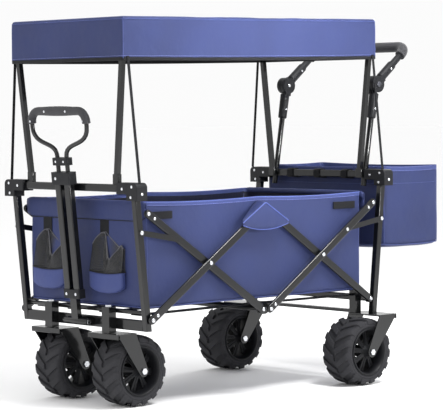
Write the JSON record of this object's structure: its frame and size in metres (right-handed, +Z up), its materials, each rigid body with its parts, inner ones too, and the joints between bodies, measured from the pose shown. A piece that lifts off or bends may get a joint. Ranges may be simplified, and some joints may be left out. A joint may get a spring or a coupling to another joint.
{
  "type": "folding camp wagon",
  "caption": "Folding wagon on wide wheels, with a fabric basket in a scissor frame, a sun canopy, a pull handle, a push handle and a rear bag.",
  "frame": {"origin": "on the floor under the middle of the wagon's whole length and width", "axes": "+Z up, -Y forward towards the pull handle, +Y back towards the push handle and bag, +X the wagon's left side"},
  "size_m": [0.649, 1.253, 1.0334],
  "materials": {
    "powder_coat_steel": "satin black powder coat on steel tube and sheet",
    "zinc_fasteners": "bright zinc plate",
    "black_moulding": "black moulded nylon with a fine texture",
    "button_plastic": "smooth dark grey moulding",
    "grip_foam": "dark foam sleeve with a matt skin",
    "tyre_rubber": "black moulded tread",
    "blue_canvas": "coated blue polyester canvas",
    "black_webbing": "woven black webbing"
  },
  "bodies": {
    "centre_frame": {"bottom_hubs": "powder_coat_steel", "bottom_hub_pins": "zinc_fasteners", "centre_cross_tube": "powder_coat_steel", "canopy_cover": "blue_canvas"},
    "bars_a": {"side_bars_a": "powder_coat_steel", "front_cross_rivets": "zinc_fasteners"},
    "bars_b": {"side_bars_b": "powder_coat_steel"},
    "bars_c": {"side_bars_c": "powder_coat_steel"},
    "bars_d": {"side_bars_d": "powder_coat_steel", "rear_cross_rivets": "zinc_fasteners"},
    "basket_hubs": {"top_hubs": "powder_coat_steel", "top_hub_pins": "zinc_fasteners", "basket": "blue_canvas", "front_pockets": "blue_canvas"},
    "front_frame": {"front_uprights": "powder_coat_steel", "front_top_crossbar": "powder_coat_steel", "front_lower_crossbar": "powder_coat_steel", "front_brackets": "black_moulding", "front_frame_rivets": "zinc_fasteners", "front_canopy_hoop": "powder_coat_steel", "front_canopy_straps": "black_webbing", "handle_hinge_bolt": "zinc_fasteners"},
    "rear_frame": {"rear_uprights": "powder_coat_steel", "rear_top_crossbar": "powder_coat_steel", "rear_lower_crossbars": "powder_coat_steel", "rear_brackets": "black_moulding", "rear_frame_rivets": "zinc_fasteners", "rear_forks": "powder_coat_steel", "rear_axles": "zinc_fasteners", "rear_canopy_hoop": "powder_coat_steel", "rear_canopy_straps": "black_webbing", "rear_bag": "blue_canvas", "push_lower_tubes": "powder_coat_steel", "push_lower_hubs": "black_moulding"},
    "front_links": {"front_links": "powder_coat_steel"},
    "rear_links": {"rear_links": "powder_coat_steel"},
    "caster_left": {"front_fork_left": "powder_coat_steel", "front_axle_left": "zinc_fasteners"},
    "caster_right": {"front_fork_right": "powder_coat_steel", "front_axle_right": "zinc_fasteners"},
    "front_wheel_left": {"front_tyre_left": "tyre_rubber", "front_rim_left": "black_moulding"},
    "front_wheel_right": {"front_tyre_right": "tyre_rubber", "front_rim_right": "black_moulding"},
    "rear_wheel_left": {"rear_tyre_left": "tyre_rubber", "rear_rim_left": "black_moulding"},
    "rear_wheel_right": {"rear_tyre_right": "tyre_rubber", "rear_rim_right": "black_moulding"},
    "pull_handle": {"handle_stem": "powder_coat_steel", "handle_bottom_clip": "black_moulding", "handle_outer_tubes": "powder_coat_steel", "handle_top_cap": "black_moulding"},
    "pull_grip": {"handle_loop": "powder_coat_steel", "handle_bridge": "black_moulding", "handle_grip": "grip_foam"},
    "push_handle": {"push_upper_hubs": "black_moulding", "push_upper_tube": "powder_coat_steel", "push_grip": "grip_foam"},
    "tilt_button_left": {"tilt_button_left": "button_plastic"},
    "tilt_button_right": {"tilt_button_right": "button_plastic"}
  },
  "joints": [
    {"name": "fold", "type": "hinge", "parent": "centre_frame", "child": "bars_c", "pos_m": [0, -0.09863, 0.238], "axis": [1, 0, 0], "range_deg": [0, 44.2], "deforming": ["basket", "front_pockets", "canopy_cover"]},
    {"name": "bars_d_cross", "type": "hinge", "parent": "bars_c", "child": "bars_d", "pos_m": [0, 0.10662, 0.3754], "axis": [1, 0, 0], "range_deg": [-88.41, 0]},
    {"name": "rear_frame_level", "type": "hinge", "parent": "bars_d", "child": "rear_frame", "pos_m": [0, 0.31187, 0.238], "axis": [1, 0, 0], "range_deg": [0, 44.21]},
    {"name": "hub_level", "type": "hinge", "parent": "bars_d", "child": "basket_hubs", "pos_m": [0, -0.09863, 0.51281], "axis": [1, 0, 0], "range_deg": [0, 44.21]},
    {"name": "bars_a_hub", "type": "hinge", "parent": "centre_frame", "child": "bars_a", "pos_m": [0, -0.11463, 0.238], "axis": [1, 0, 0], "range_deg": [-44.21, 0]},
    {"name": "bars_b_cross", "type": "hinge", "parent": "bars_a", "child": "bars_b", "pos_m": [0, -0.31989, 0.3754], "axis": [1, 0, 0], "range_deg": [0, 88.41]},
    {"name": "front_frame_level", "type": "hinge", "parent": "bars_b", "child": "front_frame", "pos_m": [0, -0.52514, 0.238], "axis": [1, 0, 0], "range_deg": [-44.21, 0]},
    {"name": "front_link_swing", "type": "hinge", "parent": "front_frame", "child": "front_links", "pos_m": [0, -0.5531, 0.465], "axis": [1, 0, 0], "range_deg": [0, 77.2]},
    {"name": "rear_link_swing", "type": "hinge", "parent": "rear_frame", "child": "rear_links", "pos_m": [0, 0.35633, 0.465], "axis": [1, 0, 0], "range_deg": [-70.23, 0]},
    {"name": "caster_left_swivel", "type": "hinge", "parent": "front_frame", "child": "caster_left", "pos_m": [0.119, -0.54799, 0.266], "axis": [0, 0, 1], "continuous": true},
    {"name": "caster_right_swivel", "type": "hinge", "parent": "front_frame", "child": "caster_right", "pos_m": [-0.119, -0.54799, 0.266], "axis": [0, 0, 1], "continuous": true},
    {"name": "front_left_spin", "type": "hinge", "parent": "caster_left", "child": "front_wheel_left", "pos_m": [0.119, -0.48099, 0.095], "axis": [1, 0, 0], "continuous": true},
    {"name": "front_right_spin", "type": "hinge", "parent": "caster_right", "child": "front_wheel_right", "pos_m": [-0.119, -0.48099, 0.095], "axis": [1, 0, 0], "continuous": true},
    {"name": "rear_left_spin", "type": "hinge", "parent": "rear_frame", "child": "rear_wheel_left", "pos_m": [0.259, 0.24864, 0.095], "axis": [1, 0, 0], "continuous": true},
    {"name": "rear_right_spin", "type": "hinge", "parent": "rear_frame", "child": "rear_wheel_right", "pos_m": [-0.259, 0.24864, 0.095], "axis": [1, 0, 0], "continuous": true},
    {"name": "pull_handle_tilt", "type": "hinge", "parent": "front_frame", "child": "pull_handle", "pos_m": [0, -0.55799, 0.222], "axis": [1, 0, 0], "range_deg": [0, 90]},
    {"name": "pull_handle_reach", "type": "slide", "parent": "pull_handle", "child": "pull_grip", "axis": [0, -0.1028, 0.9947], "range_m": [0, 0.25]},
    {"name": "push_handle_tilt", "type": "hinge", "parent": "rear_frame", "child": "push_handle", "pos_m": [0, 0.41447, 0.84908], "axis": [1, 0, 0], "range_deg": [-75, 50]},
    {"name": "tilt_button_left_press", "type": "slide", "parent": "push_handle", "child": "tilt_button_left", "axis": [-1, 0, 0], "range_m": [0, 0.003], "stiffness_N_per_m": 400},
    {"name": "tilt_button_right_press", "type": "slide", "parent": "push_handle", "child": "tilt_button_right", "axis": [1, 0, 0], "range_m": [0, 0.003], "stiffness_N_per_m": 400}
  ],
  "couplings": [
    {"joint": "bars_d_cross", "follows": "fold", "ratio": -2},
    {"joint": "rear_frame_level", "follows": "fold", "ratio": 1},
    {"joint": "hub_level", "follows": "fold", "ratio": 1},
    {"joint": "bars_a_hub", "follows": "fold", "ratio": -1},
    {"joint": "bars_b_cross", "follows": "fold", "ratio": 2},
    {"joint": "front_frame_level", "follows": "fold", "ratio": -1},
    {"joint": "front_link_swing", "follows": "fold", "ratio": 1.7464},
    {"joint": "rear_link_swing", "follows": "fold", "ratio": -1.5888}
  ]
}
